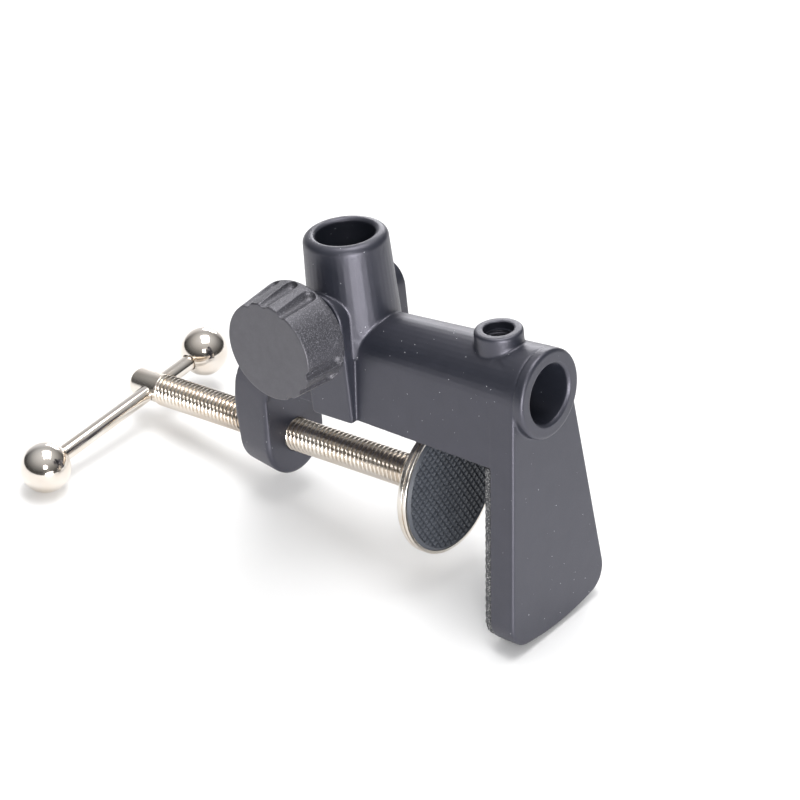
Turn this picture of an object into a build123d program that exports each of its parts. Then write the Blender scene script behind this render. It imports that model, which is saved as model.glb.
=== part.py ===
from build123d import *
import os
from math import acos, atan2, cos, hypot, pi, radians, sin, tan

# Super clamp for 5/8 inch (16 mm) studio spigots, in millimetres.
# Origin: on the clamp screw's axis, on the rubber face of the fixed jaw.
# +X runs along the screw towards the fixed jaw, +Z along the upright socket.
# The lock knob is on the -Y side.

os.makedirs("parts", exist_ok=True)

# ---------------------------------------------------------------- driving dimensions
spigot_bore_r = 8.1              # both sockets take a 16 mm spigot
facing_thickness = 2.0           # rubber sheet on the fixed jaw

# casting: the bar
bar_axis_z = 38.3                # height of the bar's half-round top above the screw
bar_underside_z = 20.3
bar_end_r = 12.25                # half-round radius at the jaw end
bar_taper = 0.046                # loss of that radius per mm away from the jaw
bar_rear_r = 8.1                 # half-round radius behind the upright socket
side_flare = 0.125               # the sides spread by this much per mm downwards
outer_edge_r = 0.8               # the die's rounding along outside edges

# casting: the fixed jaw
jaw_thickness = 7.8
jaw_bottom_z = -32.7
jaw_corner_r = 7.0
jaw_bottom_crown_r = 80.0
facing_margin = 0.25             # the facing stops this far inside the jaw's outline

# casting: the end socket and its ring
ring_r = 12.24
ring_proud = 2.7
ring_edge_r = 1.0
end_socket_depth = 42.0
socket_mouth_chamfer = 0.7

# casting: the upright socket
upright_x = -52.6
upright_top_z = 70.2
upright_top_r = 11.5
upright_draft = 2.5              # degrees
upright_socket_depth = 43.0
upright_rim_r = 2.2

# casting: the lock boss across the upright socket
boss_back_x = -59.9
boss_front_x = -45.3
boss_half_y = 13.9
boss_low_z = 19.8                # a little below the bar's underside
boss_low_corner_r = 1.2

# casting: the small boss with the spare lock-screw hole
spare_boss_x = -2.8
spare_boss_r = 6.5
spare_boss_top_z = 53.7
spare_boss_edge_r = 0.8          # rounding of its rim
spare_hole_r = 3.32              # core hole of an M8 thread
spare_hole_chamfer = 0.5

# casting: the arm that the clamp screw runs through
arm_back_x = -94.1
arm_front_x = -80.9
arm_back_r = 10.3
arm_front_r = 11.9
arm_edge = 0.9                   # bevel round both faces of the arm
arm_root_r = 6.0                 # fillet under the bar
arm_spine_r = 47.0               # the back sweeps up and forward into the bar
arm_spine_start_z = 6.0

# clamp screw, M10 x 1.5
screw_r = 4.8
screw_bore_gap = 0.05
screw_head_r = 4.4
screw_end_x = -145.0
screw_thread_end_x = -134.2
screw_shoulder_x = -37.5
screw_head_edge_r = 1.6          # rounding of the head's end
screw_thread_chamfer = 0.6       # where the thread starts behind the head
screw_shoulder_chamfer = 0.8
screw_neck_r = 2.2
screw_ball_r = 3.6
pivot_x = -31.7                  # centre of the ball that the disc swivels on

# tommy bar
tommy_hole_x = -137.6
tommy_r = 2.4
tommy_gap = 0.08
tommy_tilt = 4.9                 # degrees about the screw, as the bar stands at rest
tommy_ball_r = 7.4
tommy_ball_near = -46.5          # ball centres along the bar, from the screw axis
tommy_ball_far = 21.7
tommy_socket_depth = 1.5         # the bar goes this far past each ball's centre

# pressure disc
disc_r = 19.5
disc_front_x = -24.7
disc_back_x = -27.9
disc_web = 1.0
disc_rim = 0.9
disc_edge = 0.6
disc_rubber_front_x = -24.1
disc_rubber_land_r = 17.7        # the patterned face; a bevel runs from here to the rim
disc_groove_x = -25.6
disc_groove_depth = 0.35
disc_groove_width = 0.4
hub_back_x = -36.3
hub_r = 6.6
hub_flange_r = 12.0
hub_flange_thickness = 1.1
hub_gap = 0.05
hub_mouth_r = 3.8
ring_wire_r = 0.45
snap_ring_r = 3.55               # radius of the wire's centre line
snap_ring_x = pivot_x - 2.9
snap_ring_opening = 50           # degrees left open
ring_groove_r = 4.45
ring_groove_half = 0.97

# lock knob and bolt, M8 x 1.25
lock_z = 50.0
knob_front_y = -34.4
knob_rear_y = -20.5
knob_front_r = 13.9
knob_rear_r = 15.1
knob_front_edge = 0.4
knob_rear_edge = 1.2
grip_cutter_r = 1.8              # ball-nosed flutes
grip_flute_depth = 0.8
grip_flute_end_y = -23.4
grip_pitch = 25.0                # degrees between the three flutes of a cluster
grip_cluster_angles = (88.0, -41.0)   # degrees from +X towards +Z
lock_bolt_r = 3.95
lock_bolt_gap = 0.05
bolt_head_flats = 13.0
bolt_head_height = 5.3
bolt_head_front_y = -30.4
lock_pad_r = 3.6
lock_pad_end_y = -8.5
lock_pad_length = 2.4
dog_r = 2.2
dog_length = 1.5
dog_gap = 0.05

# ---------------------------------------------------------------- derived dimensions
jaw_inner_x = facing_thickness
jaw_outer_x = facing_thickness + jaw_thickness
ring_front_x = jaw_outer_x + ring_proud
boss_half_x = (boss_front_x - boss_back_x) / 2
slope_length = hypot(1, side_flare)
tommy_direction = (0, cos(radians(tommy_tilt)), sin(radians(tommy_tilt)))
tommy_plane = Plane(origin=(tommy_hole_x, 0, 0), x_dir=(1, 0, 0), z_dir=tommy_direction)


def bar_radius(x):
    """Radius of the bar's half-round top at station x, ahead of the upright socket."""
    return bar_end_r - bar_taper * (jaw_outer_x - x)


def half_width(radius, z):
    """Half-width at height z of a section whose flared side is tangent to its top."""
    return radius * slope_length + side_flare * (bar_axis_z - z)


bar_rear_foot = half_width(bar_rear_r, bar_underside_z)


def bar_outline(radius):
    """Half-round top, flared sides and flat underside, with Y to the right and Z up."""
    foot = half_width(radius, bar_underside_z)
    tangent_y = radius / slope_length
    tangent_z = bar_axis_z + radius * side_flare / slope_length
    with BuildSketch() as outline:
        with BuildLine():
            ThreePointArc((-tangent_y, tangent_z), (0, bar_axis_z + radius), (tangent_y, tangent_z))
            Polyline((tangent_y, tangent_z), (foot, bar_underside_z), (-foot, bar_underside_z),
                     (-tangent_y, tangent_z))
        make_face()
    return outline.sketch


def jaw_outline(radius, top_z, margin=0.0):
    """The fixed jaw's outline below top_z: flared sides and a slightly crowned bottom."""
    bottom_z = jaw_bottom_z + margin
    top_half = half_width(radius, top_z) - margin
    low_half = half_width(radius, bottom_z) - margin
    corner_z = bottom_z + low_half**2 / (2 * jaw_bottom_crown_r)
    with BuildSketch() as outline:
        with BuildLine():
            Polyline((-low_half, corner_z), (-top_half, top_z), (top_half, top_z),
                     (low_half, corner_z))
            ThreePointArc((low_half, corner_z), (0, bottom_z), (-low_half, corner_z))
        make_face()
        fillet(outline.vertices().group_by(Axis.Y)[0], jaw_corner_r - margin)
    return outline.sketch


def arm_outline(radius):
    """The screw arm's outline: round about the screw, then tangent up to the bar's underside."""
    foot_distance = hypot(bar_rear_foot, bar_underside_z)
    tangent_angle = atan2(bar_underside_z, bar_rear_foot) - acos(radius / foot_distance)
    tangent_y = radius * cos(tangent_angle)
    tangent_z = radius * sin(tangent_angle)
    with BuildSketch() as outline:
        with BuildLine():
            ThreePointArc((-tangent_y, tangent_z), (0, -radius), (tangent_y, tangent_z))
            Polyline((tangent_y, tangent_z), (bar_rear_foot, bar_underside_z),
                     (-bar_rear_foot, bar_underside_z), (-tangent_y, tangent_z))
        make_face()
    return outline.sketch


# ---------------------------------------------------------------- the casting
# the bar behind the upright socket and the arm for the clamp screw
with BuildPart() as screw_arm:
    with BuildSketch(Plane.YZ.offset(arm_back_x)):
        add(bar_outline(bar_rear_r))
    extrude(amount=upright_x - arm_back_x)
    for station, radius in ((arm_back_x, arm_back_r - arm_edge),
                            (arm_back_x + arm_edge, arm_back_r),
                            (arm_front_x - arm_edge, arm_front_r),
                            (arm_front_x, arm_front_r - arm_edge)):
        with BuildSketch(Plane.YZ.offset(station)):
            add(arm_outline(radius))
    loft(ruled=True)
    # the back sweeps up and forward
    spine_x = arm_back_x + arm_spine_r
    spine_reach = 2 * bar_axis_z
    with BuildSketch(Plane.XZ):
        with Locations((spine_x - spine_reach / 2, arm_spine_start_z + spine_reach / 2)):
            Rectangle(spine_reach, spine_reach)
        with Locations((spine_x, arm_spine_start_z)):
            Circle(arm_spine_r, mode=Mode.SUBTRACT)
    extrude(amount=2 * arm_front_r, both=True, mode=Mode.SUBTRACT)
    fillet(edges().filter_by(Axis.Y).filter_by_position(Axis.X, arm_front_x, arm_front_x)
           .filter_by_position(Axis.Z, bar_underside_z, bar_underside_z), arm_root_r)

# the lock boss across the upright socket, the same on both sides
with BuildPart() as lock_boss:
    with BuildSketch(Plane.XZ):
        with Locations((upright_x, (boss_low_z + lock_z) / 2)):
            Rectangle(2 * boss_half_x, lock_z - boss_low_z)
        fillet(vertices().group_by(Axis.Y)[0], boss_low_corner_r)
        with Locations((upright_x, lock_z)):
            Circle(boss_half_x)
    extrude(amount=boss_half_y, both=True)
    fillet(edges().group_by(Axis.Y)[0] + edges().group_by(Axis.Y)[-1], outer_edge_r)

# the bar ahead of the upright socket with the fixed jaw, whose sides are in line with the bar's
with BuildPart() as bar_and_jaw:
    for station in (upright_x, jaw_outer_x):
        with BuildSketch(Plane.YZ.offset(station)):
            add(bar_outline(bar_radius(station)))
    loft()
    for station in (jaw_inner_x, jaw_outer_x):
        with BuildSketch(Plane.YZ.offset(station)):
            add(jaw_outline(bar_radius(station), bar_axis_z))
    loft()
    fillet(faces().sort_by(Axis.X)[-1].outer_wire().edges(), outer_edge_r)

# small boss on the bar
with BuildPart() as spare_boss:
    with BuildSketch(Plane.XY.offset(bar_axis_z)):
        with Locations((spare_boss_x, 0)):
            Circle(spare_boss_r)
    extrude(amount=spare_boss_top_z - bar_axis_z)
    fillet(edges().group_by(Axis.Z)[-1], spare_boss_edge_r)

with BuildPart() as clamp_body:
    add(bar_and_jaw.part)
    add(screw_arm.part)
    add(lock_boss.part)
    add(spare_boss.part)
    # upright socket's outside
    upright_height = upright_top_z - bar_axis_z
    with BuildSketch(Plane.XY.offset(bar_axis_z)):
        with Locations((upright_x, 0)):
            Circle(upright_top_r + upright_height * tan(radians(upright_draft)))
    extrude(amount=upright_height, taper=upright_draft)
    fillet(edges().group_by(Axis.Z)[-1], upright_rim_r)
    # ring round the end socket
    with BuildSketch(Plane.YZ.offset(jaw_outer_x)):
        with Locations((0, bar_axis_z)):
            Circle(ring_r)
    extrude(amount=ring_proud)
    fillet(edges().group_by(Axis.X)[-1], ring_edge_r)
    # sockets
    with BuildSketch(Plane.XY.offset(upright_top_z)):
        with Locations((upright_x, 0)):
            Circle(spigot_bore_r)
    extrude(amount=-upright_socket_depth, mode=Mode.SUBTRACT)
    chamfer(edges().group_by(Axis.Z)[-1].sort_by(SortBy.RADIUS)[0], socket_mouth_chamfer)
    with BuildSketch(Plane.YZ.offset(ring_front_x)):
        with Locations((0, bar_axis_z)):
            Circle(spigot_bore_r)
    extrude(amount=-end_socket_depth, mode=Mode.SUBTRACT)
    chamfer(edges().group_by(Axis.X)[-1].sort_by(SortBy.RADIUS)[0], socket_mouth_chamfer)
    # spare lock-screw hole, lock-bolt hole and clamp-screw hole
    with Locations((spare_boss_x, 0, spare_boss_top_z)):
        CounterSinkHole(spare_hole_r, spare_hole_r + spare_hole_chamfer,
                        depth=spare_boss_top_z - bar_axis_z, counter_sink_angle=90)
    with BuildSketch(Plane.XZ.offset(boss_half_y)):
        with Locations((upright_x, lock_z)):
            Circle(lock_bolt_r + lock_bolt_gap)
    extrude(amount=-boss_half_y, mode=Mode.SUBTRACT)
    with BuildSketch(Plane.YZ.offset(arm_back_x)):
        Circle(screw_r + screw_bore_gap)
    extrude(amount=arm_front_x - arm_back_x, mode=Mode.SUBTRACT)
clamp_body.part.label = "clamp_body"
export_step(clamp_body.part, "parts/clamp_body.step")

# ---------------------------------------------------------------- the fixed jaw's facing
with BuildPart() as jaw_facing:
    with BuildSketch(Plane.YZ):
        add(jaw_outline(bar_radius(jaw_inner_x), bar_underside_z - facing_margin, facing_margin))
    extrude(amount=facing_thickness)
jaw_facing.part.label = "jaw_facing"
export_step(jaw_facing.part, "parts/jaw_facing.step")

# ---------------------------------------------------------------- the clamp screw
with BuildPart() as clamp_screw:
    ball_meets_neck = pivot_x - (screw_ball_r**2 - screw_neck_r**2) ** 0.5
    with BuildSketch(Plane.XZ):
        with BuildLine():
            Line((screw_end_x, 0), (screw_end_x, screw_head_r - screw_head_edge_r))
            RadiusArc((screw_end_x, screw_head_r - screw_head_edge_r),
                      (screw_end_x + screw_head_edge_r, screw_head_r), screw_head_edge_r)
            Polyline((screw_end_x + screw_head_edge_r, screw_head_r),
                     (screw_thread_end_x, screw_head_r),
                     (screw_thread_end_x + screw_thread_chamfer, screw_r),
                     (screw_shoulder_x - screw_shoulder_chamfer, screw_r),
                     (screw_shoulder_x, screw_r - screw_shoulder_chamfer),
                     (screw_shoulder_x, screw_neck_r),
                     (ball_meets_neck, screw_neck_r))
            ThreePointArc((ball_meets_neck, screw_neck_r),
                          (pivot_x, screw_ball_r),
                          (pivot_x + screw_ball_r, 0))
            Line((pivot_x + screw_ball_r, 0), (screw_end_x, 0))
        make_face()
    revolve(axis=Axis.X)
    with BuildSketch(tommy_plane):
        Circle(tommy_r + tommy_gap)
    extrude(amount=screw_head_r * 2, both=True, mode=Mode.SUBTRACT)
clamp_screw.part.label = "clamp_screw"
export_step(clamp_screw.part, "parts/clamp_screw.step")

# ---------------------------------------------------------------- the tommy bar
bar_start = tommy_ball_near - tommy_socket_depth
bar_end = tommy_ball_far + tommy_socket_depth
with BuildPart() as tommy_bar:
    with BuildSketch(tommy_plane.offset(bar_start)):
        Circle(tommy_r)
    extrude(amount=bar_end - bar_start)
tommy_bar.part.label = "tommy_bar"
export_step(tommy_bar.part, "parts/tommy_bar.step")

for name, centre, hole_end, side in (
    ("knob_side_ball", tommy_ball_near, bar_start, 1),
    ("far_side_ball", tommy_ball_far, bar_end, -1),
):
    with BuildPart(tommy_plane.offset(centre)) as end_ball:
        Sphere(tommy_ball_r)
        with BuildSketch(tommy_plane.offset(hole_end)):
            Circle(tommy_r)
        extrude(amount=side * 2 * tommy_ball_r, mode=Mode.SUBTRACT)
    end_ball.part.label = name
    export_step(end_ball.part, f"parts/{name}.step")

# ---------------------------------------------------------------- the pressure disc
pocket_r = disc_r - disc_rim
with BuildPart() as disc_cup:
    with BuildSketch(Plane.XZ):
        with BuildLine():
            Polyline((disc_back_x, 0), (disc_back_x, disc_r - disc_edge),
                     (disc_back_x + disc_edge, disc_r),
                     (disc_groove_x - disc_groove_width, disc_r),
                     (disc_groove_x - disc_groove_width, disc_r - disc_groove_depth),
                     (disc_groove_x, disc_r - disc_groove_depth), (disc_groove_x, disc_r),
                     (disc_front_x - disc_edge / 2, disc_r),
                     (disc_front_x, disc_r - disc_edge / 2),
                     (disc_front_x, pocket_r), (disc_back_x + disc_web, pocket_r),
                     (disc_back_x + disc_web, 0), (disc_back_x, 0))
        make_face()
    revolve(axis=Axis.X)
disc_cup.part.label = "disc_cup"
export_step(disc_cup.part, "parts/disc_cup.step")

with BuildPart() as disc_rubber:
    with BuildSketch(Plane.XZ):
        with BuildLine():
            Polyline((disc_back_x + disc_web, 0), (disc_back_x + disc_web, pocket_r),
                     (disc_front_x, pocket_r),
                     (disc_rubber_front_x, disc_rubber_land_r),
                     (disc_rubber_front_x, 0), (disc_back_x + disc_web, 0))
        make_face()
    revolve(axis=Axis.X)
disc_rubber.part.label = "disc_rubber"
export_step(disc_rubber.part, "parts/disc_rubber.step")

with BuildPart() as disc_hub:
    seat_r = screw_ball_r + hub_gap
    flange_back_x = disc_back_x - hub_flange_thickness
    groove_front_x = snap_ring_x + ring_groove_half
    groove_back_x = snap_ring_x - ring_groove_half
    with BuildSketch(Plane.XZ):
        with BuildLine():
            Polyline((pivot_x + seat_r, 0), (disc_back_x, 0), (disc_back_x, hub_flange_r),
                     (flange_back_x, hub_flange_r), (flange_back_x, hub_r),
                     (hub_back_x + disc_edge, hub_r), (hub_back_x, hub_r - disc_edge),
                     (hub_back_x, hub_mouth_r), (groove_back_x, hub_mouth_r),
                     (groove_back_x, ring_groove_r), (groove_front_x, ring_groove_r),
                     (groove_front_x, seat_r), (pivot_x, seat_r))
            ThreePointArc((pivot_x, seat_r),
                          (pivot_x + seat_r * cos(pi / 4), seat_r * sin(pi / 4)),
                          (pivot_x + seat_r, 0))
        make_face()
    revolve(axis=Axis.X)
disc_hub.part.label = "disc_hub"
export_step(disc_hub.part, "parts/disc_hub.step")

with BuildPart() as snap_ring:
    with BuildSketch(Plane.XZ):
        with Locations((snap_ring_x, snap_ring_r)):
            Circle(ring_wire_r)
    revolve(axis=Axis.X, revolution_arc=360 - snap_ring_opening)
snap_ring.part.label = "snap_ring"
export_step(snap_ring.part, "parts/snap_ring.step")

# ---------------------------------------------------------------- the lock bolt, knob and pad
bolt_shoulder_y = lock_pad_end_y - lock_pad_length
bolt_head_rear_y = bolt_head_front_y + bolt_head_height
with BuildPart() as lock_bolt:
    with BuildSketch(Plane.XZ.offset(-bolt_head_front_y)):
        with Locations((upright_x, lock_z)):
            RegularPolygon(bolt_head_flats / 2, 6, major_radius=False)
    extrude(amount=-bolt_head_height)
    with BuildSketch(Plane.XZ.offset(-bolt_head_rear_y)):
        with Locations((upright_x, lock_z)):
            Circle(lock_bolt_r)
    extrude(amount=-(bolt_shoulder_y - bolt_head_rear_y))
    with BuildSketch(Plane.XZ.offset(-bolt_shoulder_y)):
        with Locations((upright_x, lock_z)):
            Circle(dog_r)
    extrude(amount=-dog_length)
lock_bolt.part.label = "lock_bolt"
export_step(lock_bolt.part, "parts/lock_bolt.step")

with BuildPart() as lock_pad:
    pad_front_y = bolt_shoulder_y + dog_gap
    with BuildSketch(Plane.XZ.offset(-pad_front_y)):
        with Locations((upright_x, lock_z)):
            Circle(lock_pad_r)
    extrude(amount=-(lock_pad_end_y - pad_front_y))
    with BuildSketch(Plane.XZ.offset(-pad_front_y)):
        with Locations((upright_x, lock_z)):
            Circle(dog_r + dog_gap)
    extrude(amount=-dog_length, mode=Mode.SUBTRACT)
lock_pad.part.label = "lock_pad"
export_step(lock_pad.part, "parts/lock_pad.step")

knob_length = knob_rear_y - knob_front_y
knob_axis = Axis((upright_x, 0, lock_z), (0, 1, 0))
with BuildPart() as knob_grip:
    with BuildSketch(Plane.YZ.offset(upright_x)):
        with BuildLine():
            Polyline((knob_front_y, lock_z), (knob_front_y, lock_z + knob_front_r),
                     (knob_rear_y, lock_z + knob_rear_r), (knob_rear_y, lock_z),
                     (knob_front_y, lock_z))
        make_face()
    revolve(axis=knob_axis)
    fillet(edges().group_by(Axis.Y)[-1], knob_rear_edge)
    fillet(edges().group_by(Axis.Y)[0], knob_front_edge)
    # two clusters of three flutes, open at the front and round-ended before the rear rim
    for cluster_angle in grip_cluster_angles:
        for flute in (-1, 0, 1):
            angle = radians(cluster_angle + grip_pitch * flute)
            reach = knob_front_r - grip_flute_depth + grip_cutter_r
            flute_x = upright_x + reach * cos(angle)
            flute_z = lock_z + reach * sin(angle)
            with BuildSketch(Plane.XZ.offset(-knob_front_y)):
                with Locations((flute_x, flute_z)):
                    Circle(grip_cutter_r)
            extrude(amount=-(grip_flute_end_y - knob_front_y), mode=Mode.SUBTRACT)
            with Locations((flute_x, grip_flute_end_y, flute_z)):
                Sphere(grip_cutter_r, mode=Mode.SUBTRACT)
    # the bolt's head and shank are moulded in
    add(lock_bolt.part, mode=Mode.SUBTRACT)
knob_grip.part.label = "knob_grip"
export_step(knob_grip.part, "parts/knob_grip.step")
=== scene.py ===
from math import asin, atan2, cos, hypot, pi, radians, sin, sqrt, tau

import bmesh
import bpy
import numpy as np
from mathutils import Matrix, Vector, noise


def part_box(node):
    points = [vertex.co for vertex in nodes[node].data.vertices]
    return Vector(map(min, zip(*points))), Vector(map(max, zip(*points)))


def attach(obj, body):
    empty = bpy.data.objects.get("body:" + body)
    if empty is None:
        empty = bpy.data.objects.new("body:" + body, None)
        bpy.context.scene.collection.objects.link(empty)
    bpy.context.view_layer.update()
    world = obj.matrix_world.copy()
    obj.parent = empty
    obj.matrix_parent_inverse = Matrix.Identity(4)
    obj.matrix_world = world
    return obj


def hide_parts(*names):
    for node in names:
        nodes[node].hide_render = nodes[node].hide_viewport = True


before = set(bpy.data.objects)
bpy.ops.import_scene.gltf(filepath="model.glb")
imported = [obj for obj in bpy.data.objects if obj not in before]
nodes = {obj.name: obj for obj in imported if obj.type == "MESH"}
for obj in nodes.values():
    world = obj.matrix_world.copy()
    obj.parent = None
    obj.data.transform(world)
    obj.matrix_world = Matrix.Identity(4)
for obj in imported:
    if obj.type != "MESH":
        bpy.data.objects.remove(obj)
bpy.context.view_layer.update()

mm = 0.001

# ---------------------------------------------------------------- places, from the frame
screw_low, screw_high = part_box("clamp_screw")
screw_r = screw_high.y
disc_low, disc_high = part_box("disc_cup")
disc_r = disc_high.y
rubber_low, rubber_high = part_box("disc_rubber")
hub_low, hub_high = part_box("disc_hub")
bolt_low, bolt_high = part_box("lock_bolt")
knob_low, knob_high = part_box("knob_grip")
facing_low, facing_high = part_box("jaw_facing")
near_low, near_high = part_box("knob_side_ball")
far_low, far_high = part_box("far_side_ball")
ball_r = (near_high.z - near_low.z) / 2
near_ball = Vector(((near_low.x + near_high.x) / 2, near_low.y + ball_r, (near_low.z + near_high.z) / 2))
far_ball = Vector(((far_low.x + far_high.x) / 2, far_high.y - ball_r, (far_low.z + far_high.z) / 2))
lock_centre = (bolt_low + bolt_high) / 2
upright_x = lock_centre.x
lock_z = lock_centre.z
casting_low, casting_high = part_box("clamp_body")

# ---------------------------------------------------------------- sizes that the boxes don't give
bar_axis_z = 38.3 * mm
bar_underside_z = 20.3 * mm
upright_top_r = 11.5 * mm
upright_draft = radians(2.5)
spare_x = -2.8 * mm
spare_boss_r = 6.5 * mm
spare_top_z = 53.7 * mm
arm_front_x = -80.9 * mm
thread_end_x = -134.2 * mm        # the clamp screw's thread starts behind its head
head_r = 4.4 * mm
head_edge_r = 1.6 * mm
shoulder_x = -37.5 * mm
pivot_x = -31.7 * mm
screw_ball_r = 3.6 * mm
neck_r = 2.2 * mm
screw_pitch = 1.5 * mm
lock_pitch = 1.25 * mm
tommy_r = 2.4 * mm


# ---------------------------------------------------------------- mesh helpers
def finish_mesh(name, mesh, material, body, sharp_angle=40, stands_for=()):
    """Makes the shown object, shaded smooth except at sharp edges, and ties it to its CAD body."""
    mesh.materials.clear()
    mesh.materials.append(material)
    mesh.shade_smooth()
    mesh.set_sharp_from_angle(angle=radians(sharp_angle))
    piece = bpy.data.objects.new(name, mesh)
    bpy.context.scene.collection.objects.link(piece)
    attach(piece, body)
    if stands_for:
        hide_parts(*stands_for)
    return piece


def surface_about_x(name, stations, radii, place, closed=False, segments=96):
    """Mesh about local X. radii is (stations,) or (stations, segments); closed joins the last row to the first."""
    stations = np.asarray(stations, float)
    radii = np.asarray(radii, float)
    if radii.ndim == 1:
        radii = np.repeat(radii[:, None], segments, axis=1)
    rows, columns = radii.shape
    angle = np.arange(columns) * tau / columns
    along = np.repeat(stations[:, None], columns, axis=1)
    points = np.stack([along, radii * np.cos(angle), radii * np.sin(angle)], -1).reshape(-1, 3)
    first = (np.arange(rows if closed else rows - 1) * columns)[:, None]
    here = np.arange(columns)
    beside = (here + 1) % columns
    following = (first + columns) % (rows * columns)
    quads = np.stack([first + here, first + beside, following + beside, following + here], -1)
    faces = quads.reshape(-1, 4).tolist()
    if not closed:
        last = (rows - 1) * columns
        points = np.vstack([points, [stations[0], 0, 0], [stations[-1], 0, 0]])
        faces += [(rows * columns, k, j) for j, k in zip(here.tolist(), beside.tolist())]
        faces += [(rows * columns + 1, last + j, last + k) for j, k in zip(here.tolist(), beside.tolist())]
    mesh = bpy.data.meshes.new(name)
    mesh.from_pydata(points.tolist(), [], faces)
    mesh.transform(place)
    recalculate_normals(mesh)
    return mesh


def recalculate_normals(mesh):
    shape = bmesh.new()
    shape.from_mesh(mesh)
    bmesh.ops.remove_doubles(shape, verts=shape.verts, dist=1e-7)
    bmesh.ops.recalc_face_normals(shape, faces=shape.faces)
    shape.to_mesh(mesh)
    shape.free()


def rounded_profile(corners, closed=False, steps=6):
    """Profile through (along, radius, rounding) corners in metres, with an arc at each rounded corner."""
    along, radius = [], []
    count = len(corners)
    for i, (x, r, rounding) in enumerate(corners):
        if rounding == 0 or (not closed and i in (0, count - 1)):
            along.append(x)
            radius.append(r)
            continue
        here = Vector((x, r))
        before = (Vector(corners[i - 1][:2]) - here).normalized()
        after = (Vector(corners[(i + 1) % count][:2]) - here).normalized()
        half = before.angle(after) / 2
        centre = here + (before + after).normalized() * (rounding / sin(half))
        start = here + before * (rounding / np.tan(half)) - centre
        end = here + after * (rounding / np.tan(half)) - centre
        sweep = atan2(start.x * end.y - start.y * end.x, start.dot(end))
        for step in range(steps + 1):
            turn = Matrix.Rotation(sweep * step / steps, 2)
            point = centre + turn @ start
            along.append(point.x)
            radius.append(point.y)
    return np.array(along), np.array(radius)


def thread_ridge(x, angle, pitch):
    """From 0 in the root to 1 on the crest of a right-handed thread about +X."""
    phase = (x / pitch - angle / tau) % 1.0
    ridge = np.clip((1 - np.abs(2 * phase - 1) - 0.14) / 0.72, 0, 1)
    return ridge * ridge * (3 - 2 * ridge) * 0.5 + ridge * 0.5


def boolean_difference(mesh, cutter):
    """mesh with the cutter's solid taken away."""
    target = bpy.data.objects.new("target", mesh)
    tool = bpy.data.objects.new("tool", cutter)
    for temporary in (target, tool):
        bpy.context.scene.collection.objects.link(temporary)
    modifier = target.modifiers.new("cut", "BOOLEAN")
    modifier.operation = "DIFFERENCE"
    modifier.solver = "EXACT"
    modifier.object = tool
    bpy.context.view_layer.update()
    evaluated = target.evaluated_get(bpy.context.evaluated_depsgraph_get())
    result = bpy.data.meshes.new_from_object(evaluated)
    for temporary in (target, tool):
        bpy.data.objects.remove(temporary)
    return result


def remeshed(mesh, voxel):
    """An even mesh of small quads over the same solid."""
    source = bpy.data.objects.new("source", mesh)
    bpy.context.scene.collection.objects.link(source)
    modifier = source.modifiers.new("voxels", "REMESH")
    modifier.mode = "VOXEL"
    modifier.voxel_size = voxel
    bpy.context.view_layer.update()
    evaluated = source.evaluated_get(bpy.context.evaluated_depsgraph_get())
    result = bpy.data.meshes.new_from_object(evaluated)
    bpy.data.objects.remove(source)
    return result


def vertex_array(mesh):
    points = np.zeros(len(mesh.vertices) * 3)
    mesh.vertices.foreach_get("co", points)
    return points.reshape(-1, 3)


def relax(mesh, passes, weight=None):
    """Evens out a dense mesh, which also rounds its edges. weight, per vertex, says where."""
    points = vertex_array(mesh)
    edges = np.zeros(len(mesh.edges) * 2, int)
    mesh.edges.foreach_get("vertices", edges)
    one, other = edges.reshape(-1, 2).T
    count = len(points)
    neighbours = np.bincount(one, minlength=count) + np.bincount(other, minlength=count)
    share = 0.5 if weight is None else 0.5 * weight[:, None]
    for _ in range(passes):
        mean = np.stack([np.bincount(one, points[other, k], count)
                         + np.bincount(other, points[one, k], count) for k in range(3)], -1)
        points += share * (mean / neighbours[:, None] - points)
    mesh.vertices.foreach_set("co", points.ravel())
    mesh.update()


def near(value, target, width):
    """1 at the target, falling smoothly to 0 at width from it."""
    share = np.clip(1 - np.abs(value - target) / width, 0, 1)
    return share * share * (3 - 2 * share)


def axes_to(direction):
    """Matrix that turns local X to the direction, one of +X, +Y and +Z, and keeps a thread right-handed."""
    shift = "XYZ".index(direction)
    columns = [Vector([float(k == (i + shift) % 3) for k in range(3)]) for i in range(3)]
    return Matrix(columns).transposed().to_4x4()


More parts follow.
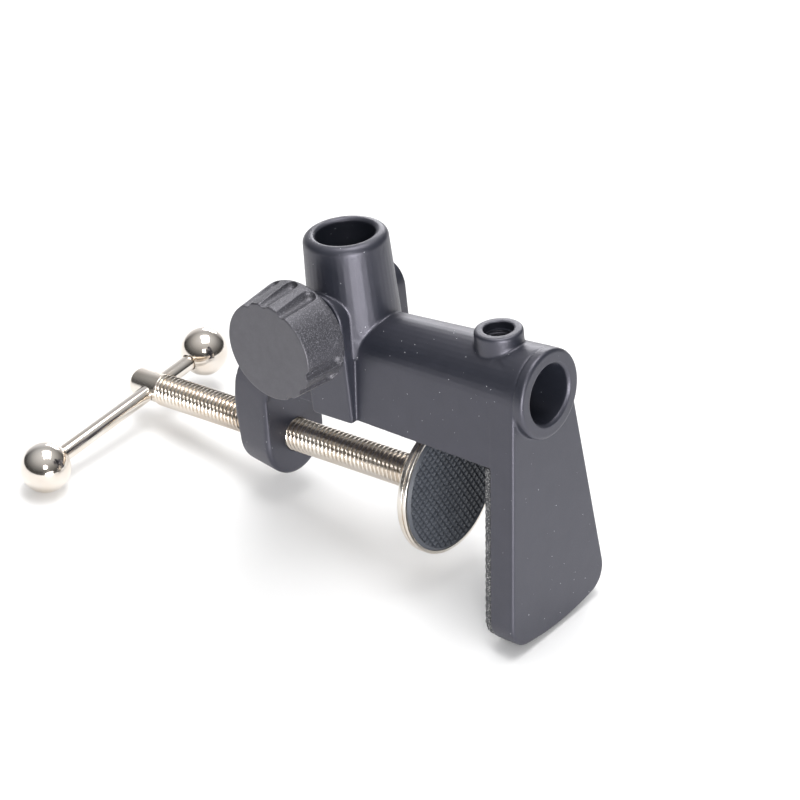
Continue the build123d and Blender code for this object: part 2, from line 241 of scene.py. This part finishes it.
# ---------------------------------------------------------------- material helpers
class Nodes:
    """A new material's node tree, with short calls for the nodes that the materials here share."""

    def __init__(self, name):
        self.material = bpy.data.materials.new(name)
        self.material.use_nodes = True
        self.tree = self.material.node_tree
        self.shader = self.tree.nodes["Principled BSDF"]
        self.place = self.add("ShaderNodeTexCoord").outputs["Object"]

    def add(self, kind, **values):
        node = self.tree.nodes.new(kind)
        for key, value in values.items():
            setattr(node, key, value)
        return node

    def link(self, source, target):
        self.tree.links.new(source, target)

    def noise(self, size, detail=3.0, roughness=0.55):
        """Noise whose features are about size metres across."""
        mapping = self.add("ShaderNodeMapping")
        mapping.inputs["Scale"].default_value = [1 / size] * 3
        self.link(self.place, mapping.inputs["Vector"])
        texture = self.add("ShaderNodeTexNoise")
        texture.inputs["Scale"].default_value = 1.0
        texture.inputs["Detail"].default_value = detail
        texture.inputs["Roughness"].default_value = roughness
        self.link(mapping.outputs["Vector"], texture.inputs["Vector"])
        return texture.outputs["Fac"]

    def cells(self, size, feature="F1"):
        mapping = self.add("ShaderNodeMapping")
        mapping.inputs["Scale"].default_value = [1 / size] * 3
        self.link(self.place, mapping.inputs["Vector"])
        texture = self.add("ShaderNodeTexVoronoi", feature=feature)
        texture.inputs["Scale"].default_value = 1.0
        self.link(mapping.outputs["Vector"], texture.inputs["Vector"])
        return texture

    def ramp(self, value, stops):
        """Colour ramp from (position, grey or colour) stops."""
        ramp = self.add("ShaderNodeValToRGB")
        elements = ramp.color_ramp.elements
        while len(elements) < len(stops):
            elements.new(0.5)
        for element, (position, colour) in zip(elements, stops):
            element.position = position
            element.color = (*colour, 1) if isinstance(colour, tuple) else (colour, colour, colour, 1)
        self.link(value, ramp.inputs["Fac"])
        return ramp.outputs["Color"]

    def mix(self, factor, first, second):
        mix = self.add("ShaderNodeMix", data_type="RGBA")
        for socket, value in ((mix.inputs["Factor"], factor), (mix.inputs[6], first), (mix.inputs[7], second)):
            if isinstance(value, bpy.types.NodeSocket):
                self.link(value, socket)
            elif isinstance(value, tuple):
                socket.default_value = (*value, 1)
            else:
                socket.default_value = value
        return mix.outputs[2]

    def math(self, operation, first, second):
        node = self.add("ShaderNodeMath", operation=operation)
        for socket, value in zip(node.inputs, (first, second)):
            if isinstance(value, bpy.types.NodeSocket):
                self.link(value, socket)
            else:
                socket.default_value = value
        return node.outputs[0]

    def spread(self, value, low, high):
        """Maps 0.3..0.7, where noise mostly lies, to low..high."""
        node = self.add("ShaderNodeMapRange")
        node.inputs["From Min"].default_value = 0.3
        node.inputs["From Max"].default_value = 0.7
        node.inputs["To Min"].default_value = low
        node.inputs["To Max"].default_value = high
        self.link(value, node.inputs["Value"])
        return node.outputs["Result"]

    def bump(self, height, depth, before=None):
        """Bump of that depth in metres, on top of another."""
        node = self.add("ShaderNodeBump")
        node.inputs["Strength"].default_value = 1.0
        node.inputs["Distance"].default_value = depth
        self.link(height, node.inputs["Height"])
        if before is not None:
            self.link(before, node.inputs["Normal"])
        return node.outputs["Normal"]

    def set(self, **values):
        """Sets the shader's sockets, by name with underscores for spaces."""
        for key, value in values.items():
            socket = self.shader.inputs[key.replace("_", " ")]
            if isinstance(value, bpy.types.NodeSocket):
                self.link(value, socket)
            elif isinstance(value, tuple):
                socket.default_value = (*value, 1)
            else:
                socket.default_value = value
        return self.material


# ---------------------------------------------------------------- materials
def casting_paint():
    """Satin black powder coat, with fine orange peel and a little white dust."""
    n = Nodes("casting_paint")
    peel = n.noise(0.35 * mm, detail=4)
    flow = n.noise(6 * mm, detail=2)
    tone = n.mix(n.spread(flow, 0, 1), (0.009, 0.011, 0.017), (0.013, 0.015, 0.022))
    dust_cells = n.cells(1.9 * mm)
    dust_size = n.noise(3 * mm, detail=1)
    dust_edge = n.math("MULTIPLY", n.spread(dust_size, 0, 1), 0.075)
    dust = n.math("LESS_THAN", dust_cells.outputs["Distance"], dust_edge)
    colour = n.mix(dust, tone, (0.55, 0.56, 0.6))
    normal = n.bump(peel, 0.012 * mm, n.bump(flow, 0.05 * mm))
    return n.set(Base_Color=colour, Roughness=n.spread(peel, 0.38, 0.47), Normal=normal,
                 Specular_IOR_Level=0.95, Specular_Tint=(0.9, 0.87, 1.0))


def cork_rubber():
    """Granular cork rubber: light grains in black."""
    n = Nodes("facing_rubber")
    grains = n.cells(0.42 * mm)
    shade = n.noise(0.3 * mm, detail=2)
    light = n.ramp(shade, [(0.42, 0.05), (0.52, 0.14), (0.62, 0.5)])
    colour = n.mix(n.ramp(grains.outputs["Distance"], [(0.25, 1.0), (0.6, 0.0)]), (0.045, 0.046, 0.05), light)
    normal = n.bump(grains.outputs["Distance"], 0.1 * mm, n.bump(shade, 0.08 * mm))
    return n.set(Base_Color=colour, Roughness=0.85, Normal=normal)


def nickel(name, tint, low, high):
    """Bright nickel plate with faint polishing marks and warm stains."""
    n = Nodes(name)
    marks = n.noise(0.5 * mm, detail=4)
    clouds = n.noise(9 * mm, detail=2)
    warm = tuple(c * f for c, f in zip(tint, (0.93, 0.87, 0.80)))
    colour = n.mix(n.spread(clouds, 0, 0.8), tint, warm)
    return n.set(Base_Color=colour, Metallic=1.0, Roughness=n.spread(marks, low, high),
                 Normal=n.bump(marks, 0.0005 * mm))


def pad_rubber():
    n = Nodes("disc_pad_rubber")
    bloom = n.noise(3 * mm)
    grain = n.noise(0.12 * mm, detail=3)
    colour = n.mix(n.spread(bloom, 0, 1), (0.036, 0.041, 0.053), (0.058, 0.064, 0.078))
    return n.set(Base_Color=colour, Roughness=n.spread(grain, 0.42, 0.6), Normal=n.bump(grain, 0.01 * mm))


def knob_plastic():
    """Moulded black plastic with a spark-eroded grain, and light grey flecks painted on the grain of its side as
    glints.
    """
    n = Nodes("knob_plastic")
    grain = n.noise(0.34 * mm, detail=2, roughness=0.7)
    marks = n.noise(2.2 * mm, detail=4)
    tone = n.mix(n.spread(marks, 0, 1), (0.026, 0.026, 0.031), (0.038, 0.038, 0.044))
    along = n.add("ShaderNodeSeparateXYZ")
    n.link(n.place, along.inputs[0])
    side = n.math("GREATER_THAN", along.outputs["Y"], knob_low.y + 0.25 * mm)
    side_grain = n.math("MULTIPLY", grain, n.math("ADD", n.math("MULTIPLY", side, 0.85), 0.15))
    # painted glints: light grey flecks on the grain peaks of the side, where light would catch the texture
    painted_grain_glint = n.math("MULTIPLY", n.ramp(grain, [(0.52, 0.0), (0.7, 1.0)]), side)
    colour = n.mix(painted_grain_glint, tone, (0.16, 0.16, 0.18))
    return n.set(Base_Color=colour, Roughness=n.spread(grain, 0.34, 0.5), Normal=n.bump(side_grain, 0.1 * mm),
                 Specular_IOR_Level=1.0, Specular_Tint=(0.945, 0.92, 1.0))


def steel(name, tint, roughness):
    n = Nodes(name)
    marks = n.noise(0.3 * mm, detail=4)
    clouds = n.noise(2.5 * mm, detail=3)
    dull = tuple(c * 0.82 for c in tint)
    return n.set(Base_Color=n.mix(n.spread(clouds, 0, 1), tint, dull), Metallic=1.0,
                 Roughness=n.spread(marks, roughness - 0.08, roughness + 0.08), Normal=n.bump(marks, 0.003 * mm))


def nylon():
    n = Nodes("pad_nylon")
    clouds = n.noise(1.5 * mm, detail=3)
    colour = n.mix(n.spread(clouds, 0, 1), (0.62, 0.59, 0.52), (0.7, 0.68, 0.62))
    return n.set(Base_Color=colour, Roughness=0.5, Normal=n.bump(n.noise(0.2 * mm), 0.01 * mm))


paint = casting_paint()
facing_material = cork_rubber()
screw_nickel = nickel("screw_nickel", (0.76, 0.71, 0.65), 0.14, 0.26)
bar_nickel = nickel("bar_nickel", (0.79, 0.755, 0.715), 0.08, 0.16)
disc_nickel = nickel("disc_nickel", (0.74, 0.71, 0.67), 0.18, 0.28)
rubber = pad_rubber()
knob_material = knob_plastic()
spring_steel = steel("spring_steel", (0.35, 0.35, 0.36), 0.35)
bolt_zinc = steel("bolt_zinc", (0.62, 0.63, 0.65), 0.3)
pad_nylon = nylon()


# ---------------------------------------------------------------- the casting
def casting():
    """The die casting: the CAD solid with its corners softened and its inner corners filleted."""
    mesh = nodes["clamp_body"].data.copy()
    tap_hole = surface_about_x("tap_hole", [46 * mm, spare_top_z + 1 * mm], [4.0 * mm, 4.0 * mm],
                               Matrix.Translation((spare_x, 0, 0)) @ axes_to("Z"))
    mesh = boolean_difference(mesh, tap_hole)
    mesh = remeshed(mesh, 0.25 * mm)
    relax(mesh, 2)
    points = vertex_array(mesh)
    x, y, z = points.T
    from_upright = np.hypot(x - upright_x, y)
    upright_r = upright_top_r + (casting_high.z - z) * np.tan(upright_draft)
    upright_foot = near(from_upright, upright_r, 2.2 * mm) * (z > bar_axis_z) * (z < 55 * mm)
    from_spare = np.hypot(x - spare_x, y)
    boss_foot = near(from_spare, spare_boss_r, 1.6 * mm) * (z > 46 * mm) * (z < 51.8 * mm)
    arm = (x < arm_front_x + 1 * mm) * np.clip((bar_underside_z - 1 * mm - z) / (4 * mm), 0, 1)
    away_from_bore = np.clip((np.hypot(y, z) - 6 * mm) / (2 * mm), 0, 1)
    relax(mesh, 10, np.clip(upright_foot * 0.3 + boss_foot * 0.6 + arm * away_from_bore, 0, 1))
    return finish_mesh("casting", mesh, paint, "casting", 80, ["clamp_body"])


def inner_thread(name, place, start, end, core_r, pitch, depth, sleeve_r, gap=0.0, phase=0.0):
    """Thread inside a tapped hole: a thin sleeve whose ridges point inwards."""
    rows = int((end - start) / pitch * 10)
    stations = np.linspace(start, end, rows)
    angle = np.arange(64) * tau / 64
    ridge = thread_ridge(stations[:, None] + phase, angle[None, :], pitch)
    inside = core_r + depth * ridge + gap
    outside = np.full_like(inside, sleeve_r)
    mesh = surface_about_x(name, np.concatenate([stations, stations[::-1]]),
                           np.vstack([inside, outside[::-1]]), place, closed=True)
    return finish_mesh(name, mesh, paint, "casting", 80)


def jaw_facing():
    """The sheet of cork rubber, with the roughness of its grains on its cut edges."""
    mesh = remeshed(nodes["jaw_facing"].data.copy(), 0.3 * mm)
    relax(mesh, 1)
    points = vertex_array(mesh)
    normals = np.zeros(len(points) * 3)
    mesh.vertices.foreach_get("normal", normals)
    grain = np.array([noise.noise(Vector(p) / (0.7 * mm)) for p in points])
    inwards = (grain - 0.6) * 0.07 * mm
    points += normals.reshape(-1, 3) * inwards[:, None]
    mesh.vertices.foreach_set("co", points.ravel())
    mesh.update()
    return finish_mesh("facing", mesh, facing_material, "casting", 80, ["jaw_facing"])


# ---------------------------------------------------------------- the clamp screw
def clamp_screw():
    depth = 0.86 * mm
    end = pivot_x + screw_ball_r
    head = screw_low.x + head_edge_r * (1 - np.cos(np.linspace(0, pi / 2, 7)))
    thread = np.arange(thread_end_x, shoulder_x, screw_pitch / 12)
    neck = np.array([shoulder_x, shoulder_x + 1e-6, pivot_x - sqrt(screw_ball_r**2 - neck_r**2)])
    ball = pivot_x + screw_ball_r * np.sin(np.linspace(-asin(sqrt(1 - (neck_r / screw_ball_r)**2)), pi / 2, 14))[1:]
    stations = np.concatenate([head, [thread_end_x - 1e-5], thread, neck, ball])
    angle = np.arange(72) * tau / 72
    x = stations[:, None]
    head_round = head_r - head_edge_r + np.sqrt(np.clip(
        head_edge_r**2 - np.clip(screw_low.x + head_edge_r - x, 0, None)**2, 0, None))
    crest = np.minimum(screw_r - 0.02 * mm, np.minimum(head_r + (x - thread_end_x), screw_r - 0.8 * mm + (shoulder_x - x)))
    fade = np.clip((x - thread_end_x) / (1.5 * mm), 0, 1)
    threaded = crest - depth * fade * (1 - thread_ridge(x, angle[None, :], screw_pitch))
    radii = np.where(x < thread_end_x, head_round, threaded)
    neck_and_ball = np.sqrt(np.clip(screw_ball_r**2 - (x - pivot_x)**2, 0, None))
    radii = np.where(x > shoulder_x, np.where(x < neck[-1], neck_r, neck_and_ball), radii)
    radii[-1] = 1e-5
    mesh = surface_about_x("screw", stations, radii, Matrix.Identity(4))
    direction = (far_ball - near_ball).normalized()
    centre = Vector((near_ball.x, 0, 0))
    place = Matrix.Translation(centre) @ direction.to_track_quat("X", "Z").to_matrix().to_4x4()
    bore = tommy_r + 0.08 * mm
    hole = surface_about_x("hole", [-6 * mm, 6 * mm], [bore, bore], place)
    mesh = boolean_difference(mesh, hole)
    return finish_mesh("screw", mesh, screw_nickel, "screw", 38, ["clamp_screw"])


# ---------------------------------------------------------------- the tommy bar and its balls
def tommy_bar():
    direction = (far_ball - near_ball).normalized()
    turned = direction.to_track_quat("X", "Z").to_matrix().to_4x4()
    length = (far_ball - near_ball).length
    corners = [(-1.4 * mm, 0, 0), (-1.4 * mm, tommy_r, 0.4 * mm), (length + 1.4 * mm, tommy_r, 0.4 * mm),
               (length + 1.4 * mm, 0, 0)]
    stations, radii = rounded_profile(corners)
    mesh = surface_about_x("tommy", stations[1:-1], radii[1:-1], Matrix.Translation(near_ball) @ turned, segments=64)
    finish_mesh("tommy_rod", mesh, bar_nickel, "handle", 30, ["tommy_bar"])
    for name, centre, side, node in (("near_ball", near_ball, 1, "knob_side_ball"),
                                     ("far_ball", far_ball, -1, "far_side_ball")):
        mouth_r = tommy_r + 0.18 * mm
        edge = asin(mouth_r / ball_r)
        sweep = np.linspace(pi, edge, 56)
        stations = list(ball_r * np.cos(sweep)) + [ball_r * cos(edge) - 0.25 * mm, -1.45 * mm, -1.45 * mm]
        radii = list(ball_r * np.sin(sweep)) + [tommy_r + 0.005 * mm, tommy_r + 0.005 * mm, 1e-5]
        radii[0] = 1e-5
        outward = Matrix.Translation(centre) @ turned @ Matrix.Scale(side, 4, (1, 0, 0))
        mesh = surface_about_x(name, stations, radii, outward, segments=112)
        finish_mesh(name, mesh, bar_nickel, "handle", 40, [node])


# ---------------------------------------------------------------- the disc
def disc():
    front, back = disc_high.x, disc_low.x
    pocket_r = disc_r - 0.9 * mm
    groove_x = -25.6 * mm
    cup = [(back, 0, 0), (back, disc_r, 0.9 * mm), (groove_x - 0.45 * mm, disc_r, 0.1 * mm),
           (groove_x - 0.35 * mm, disc_r - 0.35 * mm, 0), (groove_x - 0.05 * mm, disc_r - 0.35 * mm, 0),
           (groove_x + 0.05 * mm, disc_r, 0.1 * mm), (front, disc_r, 0.3 * mm), (front, pocket_r, 0.1 * mm),
           (back + 1 * mm, pocket_r, 0), (back + 1 * mm, 0, 0)]
    stations, radii = rounded_profile(cup)
    radii[0] = radii[-1] = 1e-5
    mesh = surface_about_x("cup", stations, radii, Matrix.Identity(4), segments=160)
    finish_mesh("cup", mesh, disc_nickel, "disc", 35, ["disc_cup"])

    flange_back = back - 1.1 * mm
    hub_r, flange_r, mouth_r = 6.6 * mm, 12 * mm, 3.8 * mm
    hub = [(back, 5 * mm, 0), (back, flange_r, 0.3 * mm), (flange_back, flange_r, 0.3 * mm),
           (flange_back, hub_r, 0.5 * mm), (hub_low.x, hub_r, 0.7 * mm), (hub_low.x, mouth_r, 0.4 * mm),
           (-33.6 * mm, mouth_r, 0), (-33.6 * mm, 5 * mm, 0)]
    stations, radii = rounded_profile(hub, closed=True)
    mesh = surface_about_x("hub", stations, radii, Matrix.Identity(4), closed=True, segments=112)
    finish_mesh("hub", mesh, disc_nickel, "disc", 35, ["disc_hub"])


def disc_rubber():
    """The moulded pad: rows of small raised diamonds inside a plain bevelled rim."""
    pitch = 1.7 * mm
    per_cell = 12
    land_r = 17.4 * mm
    height = 0.7 * mm
    front = rubber_high.x
    step = pitch / per_cell
    count = int(land_r / step) + 2
    line = np.arange(-count, count + 1) * step
    s, t = np.meshgrid(line, line, indexing="ij")
    turn = radians(28)
    y = s * cos(turn) - t * sin(turn)
    z = s * sin(turn) + t * cos(turn)
    across = np.abs((s / pitch) % 1.0 - 0.5) * 2
    up = np.abs((t / pitch) % 1.0 - 0.5) * 2
    rise = np.clip((0.86 - np.maximum(across, up)) / 0.26, 0, 1)
    rise = rise * rise * (3 - 2 * rise)
    distance = np.hypot(y, z)
    fade = np.clip((land_r - distance) / (0.4 * mm), 0, 1)
    x = front - 0.12 * mm - height * (1 - rise) * fade
    side = len(line)
    inside = distance <= land_r + 0.4 * step
    corner = inside[:-1, :-1] & inside[1:, :-1] & inside[1:, 1:] & inside[:-1, 1:]
    i, j = np.nonzero(corner)
    faces = np.stack([i * side + j, (i + 1) * side + j, (i + 1) * side + j + 1, i * side + j + 1], -1)
    used, faces = np.unique(faces, return_inverse=True)
    faces = faces.reshape(-1, 4)
    points = np.stack([x, y, z], -1).reshape(-1, 3)[used]
    shape = bmesh.new()
    made = [shape.verts.new(p) for p in points.tolist()]
    for face in faces.tolist():
        shape.faces.new([made[k] for k in face])
    pocket_r = disc_r - 0.9 * mm
    rim = [(land_r + 0.15 * mm, front - 0.12 * mm), (land_r + 0.3 * mm, front), (pocket_r - 0.15 * mm, disc_high.x - 0.05 * mm),
           (pocket_r, disc_high.x - 0.25 * mm), (pocket_r, rubber_low.x)]
    for radius, along in rim:
        edges = [e for e in shape.edges if e.is_boundary]
        moved = bmesh.ops.extrude_edge_only(shape, edges=edges)["geom"]
        for vertex in moved:
            if isinstance(vertex, bmesh.types.BMVert):
                out = Vector((vertex.co.y, vertex.co.z)).normalized() * radius
                vertex.co = (along, out.x, out.y)
    bmesh.ops.holes_fill(shape, edges=[e for e in shape.edges if e.is_boundary])
    bmesh.ops.recalc_face_normals(shape, faces=shape.faces)
    mesh = bpy.data.meshes.new("pad")
    shape.to_mesh(mesh)
    shape.free()
    return finish_mesh("pad_face", mesh, rubber, "disc", 50, ["disc_rubber"])


# ---------------------------------------------------------------- the lock knob
def knob():
    mesh = remeshed(nodes["knob_grip"].data.copy(), 0.18 * mm)
    relax(mesh, 2)
    return finish_mesh("knob", mesh, knob_material, "knob", 80, ["knob_grip"])


def lock_bolt():
    head_front, head_rear = bolt_low.y, bolt_low.y + 5.3 * mm
    tip, shoulder = bolt_high.y, bolt_high.y - 1.5 * mm
    shank_r = 3.93 * mm
    depth = 0.7 * mm
    head = np.array([head_front, head_front + 0.4 * mm, head_rear - 1e-5, head_rear])
    shank = np.arange(head_rear + 1e-5, shoulder, lock_pitch / 12)
    dog = np.array([shoulder, shoulder + 1e-5, tip - 0.3 * mm, tip])
    stations = np.concatenate([head, shank, dog])
    angle = np.arange(72) * tau / 72
    x = stations[:, None]
    hexagon = 6.5 * mm / np.cos((angle + pi / 6) % (pi / 3) - pi / 6)
    head_radius = np.minimum(hexagon, 6.9 * mm + (x - head_front))
    crest = np.minimum(shank_r, shank_r - 0.7 * mm + (shoulder - x))
    threaded = crest - depth * (1 - thread_ridge(x, angle[None, :], lock_pitch))
    dog_r = 2.2 * mm - np.clip(x - tip + 0.3 * mm, 0, None)
    radii = np.where(x < head_rear, head_radius, np.where(x <= shoulder, threaded, dog_r))
    place = Matrix.Translation((upright_x, 0, lock_z)) @ axes_to("Y")
    mesh = surface_about_x("bolt", stations, radii, place)
    return finish_mesh("bolt", mesh, bolt_zinc, "knob", 38, ["lock_bolt"])


casting()
inner_thread("spare_hole_thread", Matrix.Translation((spare_x, 0, 0)) @ axes_to("Z"), 46.3 * mm, 51.6 * mm,
             3.32 * mm, lock_pitch, 0.64 * mm, 4.1 * mm)
jaw_facing()
clamp_screw()
tommy_bar()
disc()
disc_rubber()
knob()
lock_bolt()
for node, material in (("snap_ring", spring_steel), ("lock_pad", pad_nylon)):
    nodes[node].data.materials.clear()
    nodes[node].data.materials.append(material)


# ---------------------------------------------------------------- the camera
azimuth, elevation, roll = radians(42.669), radians(28.72), radians(6.54)
back = Vector((sin(azimuth) * cos(elevation), -cos(azimuth) * cos(elevation), sin(elevation)))
right = Vector((cos(azimuth), sin(azimuth), 0))
up = back.cross(right)
camera_data = bpy.data.cameras.new("camera")
camera_data.lens = 115.49
camera_data.sensor_width = 36
camera_data.clip_start = 0.01
camera = bpy.data.objects.new("camera", camera_data)
camera_right = cos(roll) * right - sin(roll) * up
camera_up = sin(roll) * right + cos(roll) * up
turned = Matrix((camera_right, camera_up, back)).transposed().to_4x4()
camera.matrix_world = Matrix.Translation(Vector((-0.039784, 0, 0.022378)) + back * 0.6959) @ turned
bpy.context.scene.collection.objects.link(camera)
bpy.context.scene.camera = camera
bpy.context.scene.view_settings.view_transform = "Standard"


# ---------------------------------------------------------------- floor and light
# the clamp stands on the edge of its fixed jaw and on the ball below the knob
foot = Vector((facing_low.x, 0, facing_low.z))
reach = foot - Vector((near_ball.x, 0, near_ball.z))
floor_tilt = atan2(-reach.z, reach.x) - asin(ball_r / hypot(reach.x, reach.z))
floor_normal = Vector((sin(floor_tilt), 0, cos(floor_tilt)))
floor_frame = Matrix.Translation(foot) @ Matrix.Rotation(floor_tilt, 4, "Y")


def floor():
    mesh = surface_about_x("floor", [-0.02, -0.0001], [1.6, 1.6], floor_frame @ axes_to("Z"), segments=128)
    n = Nodes("floor_paper")
    texture = n.noise(40 * mm, detail=3)
    n.set(Base_Color=n.mix(n.spread(texture, 0, 1), (0.92, 0.92, 0.92), (0.94, 0.94, 0.94)), Roughness=0.8)
    mesh.materials.append(n.material)
    piece = bpy.data.objects.new("floor", mesh)
    bpy.context.scene.collection.objects.link(piece)


def softbox(name, place, width, height, strength, tint=(1, 1, 1)):
    """Area light at a place in the floor's frame, aimed at the clamp."""
    data = bpy.data.lights.new(name, "AREA")
    data.shape = "RECTANGLE"
    data.size, data.size_y = width, height
    data.energy = strength
    data.color = tint
    lamp = bpy.data.objects.new(name, data)
    position = floor_frame @ Vector(place)
    aim = Vector((-0.05, 0, 0.02)) - position
    lamp.matrix_world = Matrix.Translation(position) @ aim.to_track_quat("-Z", "Y").to_matrix().to_4x4()
    bpy.context.scene.collection.objects.link(lamp)


def surroundings():
    """A dim room with a white backdrop behind the clamp, near white where the camera sees it."""
    world = bpy.data.worlds.new("room")
    world.use_nodes = True
    tree = world.node_tree
    background = tree.nodes["Background"]
    place = tree.nodes.new("ShaderNodeTexCoord")
    height = tree.nodes.new("ShaderNodeVectorMath")
    height.operation = "DOT_PRODUCT"
    height.inputs[1].default_value = floor_normal
    tree.links.new(place.outputs["Generated"], height.inputs[0])
    ramp = tree.nodes.new("ShaderNodeValToRGB")
    stops = ((0.0, 0.06), (0.2, 0.08), (0.5, 0.28), (1.0, 0.85))
    while len(ramp.color_ramp.elements) < len(stops):
        ramp.color_ramp.elements.new(0.5)
    for element, (position, grey) in zip(ramp.color_ramp.elements, stops):
        element.position = position
        element.color = (grey, grey, grey, 1)
    tree.links.new(height.outputs["Value"], ramp.inputs["Fac"])
    behind = tree.nodes.new("ShaderNodeVectorMath")
    behind.operation = "DOT_PRODUCT"
    behind.inputs[1].default_value = Vector((-sin(azimuth), cos(azimuth), 0))
    tree.links.new(place.outputs["Generated"], behind.inputs[0])
    backdrop = tree.nodes.new("ShaderNodeMapRange")
    backdrop.inputs["From Min"].default_value = 0.6
    backdrop.inputs["From Max"].default_value = 0.9
    tree.links.new(behind.outputs["Value"], backdrop.inputs["Value"])
    room = tree.nodes.new("ShaderNodeMix")
    room.data_type = "RGBA"
    room.inputs[7].default_value = (0.9, 0.9, 0.92, 1)
    tree.links.new(backdrop.outputs["Result"], room.inputs[0])
    tree.links.new(ramp.outputs["Color"], room.inputs[6])
    seen = tree.nodes.new("ShaderNodeLightPath")
    mix = tree.nodes.new("ShaderNodeMix")
    mix.data_type = "RGBA"
    mix.inputs[7].default_value = (0.95, 0.95, 0.95, 1)
    tree.links.new(seen.outputs["Is Camera Ray"], mix.inputs[0])
    tree.links.new(room.outputs[2], mix.inputs[6])
    tree.links.new(mix.outputs[2], background.inputs["Color"])
    background.inputs["Strength"].default_value = 1.0
    bpy.context.scene.world = world


floor()
softbox("overhead", (-0.1, 0.1, 0.85), 0.6, 0.45, 5.5)
softbox("behind", (-0.6, 0.85, 0.35), 0.5, 0.3, 3.4)
softbox("low_right", (0.74, -0.5, 0.08), 0.5, 0.14, 8)
softbox("front", (0.5, -0.62, 0.62), 0.26, 0.26, 2.6)
surroundings()
